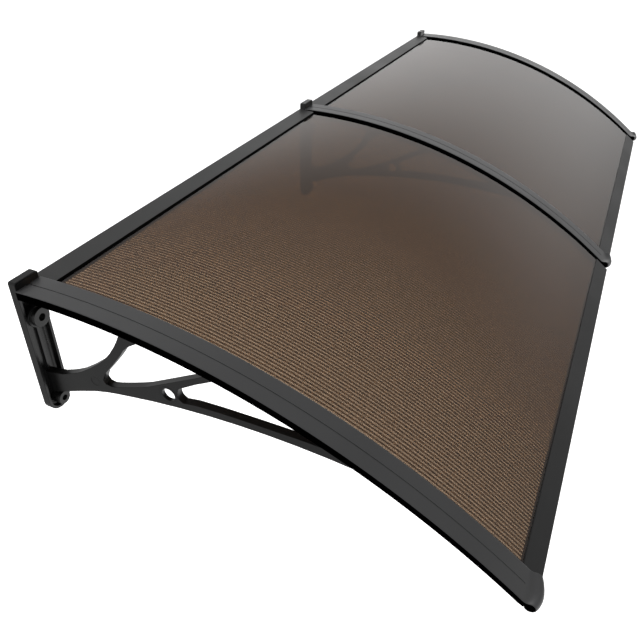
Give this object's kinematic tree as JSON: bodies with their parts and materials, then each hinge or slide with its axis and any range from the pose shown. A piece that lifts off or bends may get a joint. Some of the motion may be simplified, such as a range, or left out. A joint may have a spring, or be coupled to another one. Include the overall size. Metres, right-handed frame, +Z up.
{
  "type": "door canopy",
  "caption": "Arched door canopy: bronze twin-wall sheets between curved cap strips on moulded wall brackets, with hollow bars along the wall and the front edge.",
  "frame": {"origin": "on the middle bracket's back face, on its centre line, 10 mm below the top of the wall plate", "axes": "+Y into the wall, +X along the wall to the right as seen from the front, +Z up; the canopy reaches out along -Y"},
  "size_m": [1.9904, 0.8303, 0.2883],
  "materials": {
    "bracket_plastic": "fine-grained matte black",
    "strip_plastic": "smooth satin black",
    "bar_metal": "satin black powder coat",
    "sheet_polycarbonate": "clear bronze, glossy, see-through",
    "screw_steel": "zinc-plated"
  },
  "bodies": {
    "root": {"bracket_left": "bracket_plastic", "top_strip_left": "strip_plastic", "strip_screw_left_1": "screw_steel", "strip_screw_left_2": "screw_steel", "strip_screw_left_3": "screw_steel", "strip_screw_left_4": "screw_steel", "bracket_middle": "bracket_plastic", "top_strip_middle": "strip_plastic", "strip_screw_middle_1": "screw_steel", "strip_screw_middle_2": "screw_steel", "strip_screw_middle_3": "screw_steel", "strip_screw_middle_4": "screw_steel", "bracket_right": "bracket_plastic", "top_strip_right": "strip_plastic", "strip_screw_right_1": "screw_steel", "strip_screw_right_2": "screw_steel", "strip_screw_right_3": "screw_steel", "strip_screw_right_4": "screw_steel", "sheet_left": "sheet_polycarbonate", "rear_bar_left": "bar_metal", "front_bar_left": "bar_metal", "sheet_right": "sheet_polycarbonate", "rear_bar_right": "bar_metal", "front_bar_right": "bar_metal"}
  },
  "joints": []
}
